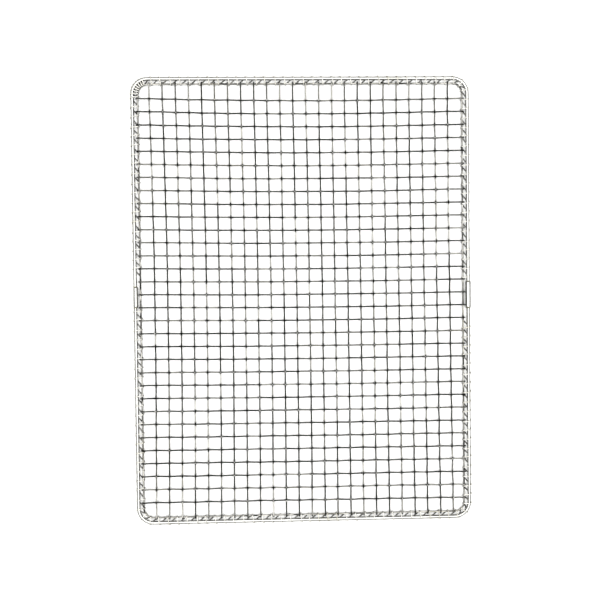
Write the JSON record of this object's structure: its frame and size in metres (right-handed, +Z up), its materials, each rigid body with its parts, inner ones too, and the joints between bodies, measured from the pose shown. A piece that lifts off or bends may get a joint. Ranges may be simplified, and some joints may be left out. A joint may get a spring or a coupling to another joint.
{
  "type": "cooling rack",
  "caption": "Flat rectangular wire-mesh cooling rack: woven wires hooked over an edge hoop and laced to a round rim rod, so air reaches baked goods from below.",
  "frame": {"origin": "on the resting surface, under the centre of the rack", "axes": "+Z up, +Y along the rack's length towards its rear edge, +X across it"},
  "size_m": [0.3356, 0.4426, 0.0062],
  "materials": {
    "rim_rod": "bright nickel-plated steel rod",
    "mesh_wire": "nickel-plated steel wire, drawn and crimped",
    "lacing_wire": "nickel-plated soft steel binding wire"
  },
  "bodies": {
    "root": {"rim_rod_with_ferrules": "rim_rod", "edge_hoop": "mesh_wire", "rear_lacing": "lacing_wire", "front_lacing": "lacing_wire", "long_wire_01": "mesh_wire", "long_wire_02": "mesh_wire", "long_wire_03": "mesh_wire", "long_wire_04": "mesh_wire", "long_wire_05": "mesh_wire", "long_wire_06": "mesh_wire", "long_wire_07": "mesh_wire", "long_wire_08": "mesh_wire", "long_wire_09": "mesh_wire", "long_wire_10": "mesh_wire", "long_wire_11": "mesh_wire", "long_wire_12": "mesh_wire", "long_wire_13": "mesh_wire", "long_wire_14": "mesh_wire", "long_wire_15": "mesh_wire", "long_wire_16": "mesh_wire", "long_wire_17": "mesh_wire", "long_wire_18": "mesh_wire", "long_wire_19": "mesh_wire", "long_wire_20": "mesh_wire", "long_wire_21": "mesh_wire", "long_wire_22": "mesh_wire", "long_wire_23": "mesh_wire", "long_wire_24": "mesh_wire", "cross_wire_01": "mesh_wire", "cross_wire_02": "mesh_wire", "cross_wire_03": "mesh_wire", "cross_wire_04": "mesh_wire", "cross_wire_05": "mesh_wire", "cross_wire_06": "mesh_wire", "cross_wire_07": "mesh_wire", "cross_wire_08": "mesh_wire", "cross_wire_09": "mesh_wire", "cross_wire_10": "mesh_wire", "cross_wire_11": "mesh_wire", "cross_wire_12": "mesh_wire", "cross_wire_13": "mesh_wire", "cross_wire_14": "mesh_wire", "cross_wire_15": "mesh_wire", "cross_wire_16": "mesh_wire", "cross_wire_17": "mesh_wire", "cross_wire_18": "mesh_wire", "cross_wire_19": "mesh_wire", "cross_wire_20": "mesh_wire", "cross_wire_21": "mesh_wire", "cross_wire_22": "mesh_wire", "cross_wire_23": "mesh_wire", "cross_wire_24": "mesh_wire", "cross_wire_25": "mesh_wire", "cross_wire_26": "mesh_wire", "cross_wire_27": "mesh_wire", "cross_wire_28": "mesh_wire", "cross_wire_29": "mesh_wire", "cross_wire_30": "mesh_wire", "cross_wire_31": "mesh_wire", "cross_wire_32": "mesh_wire"}
  },
  "joints": []
}
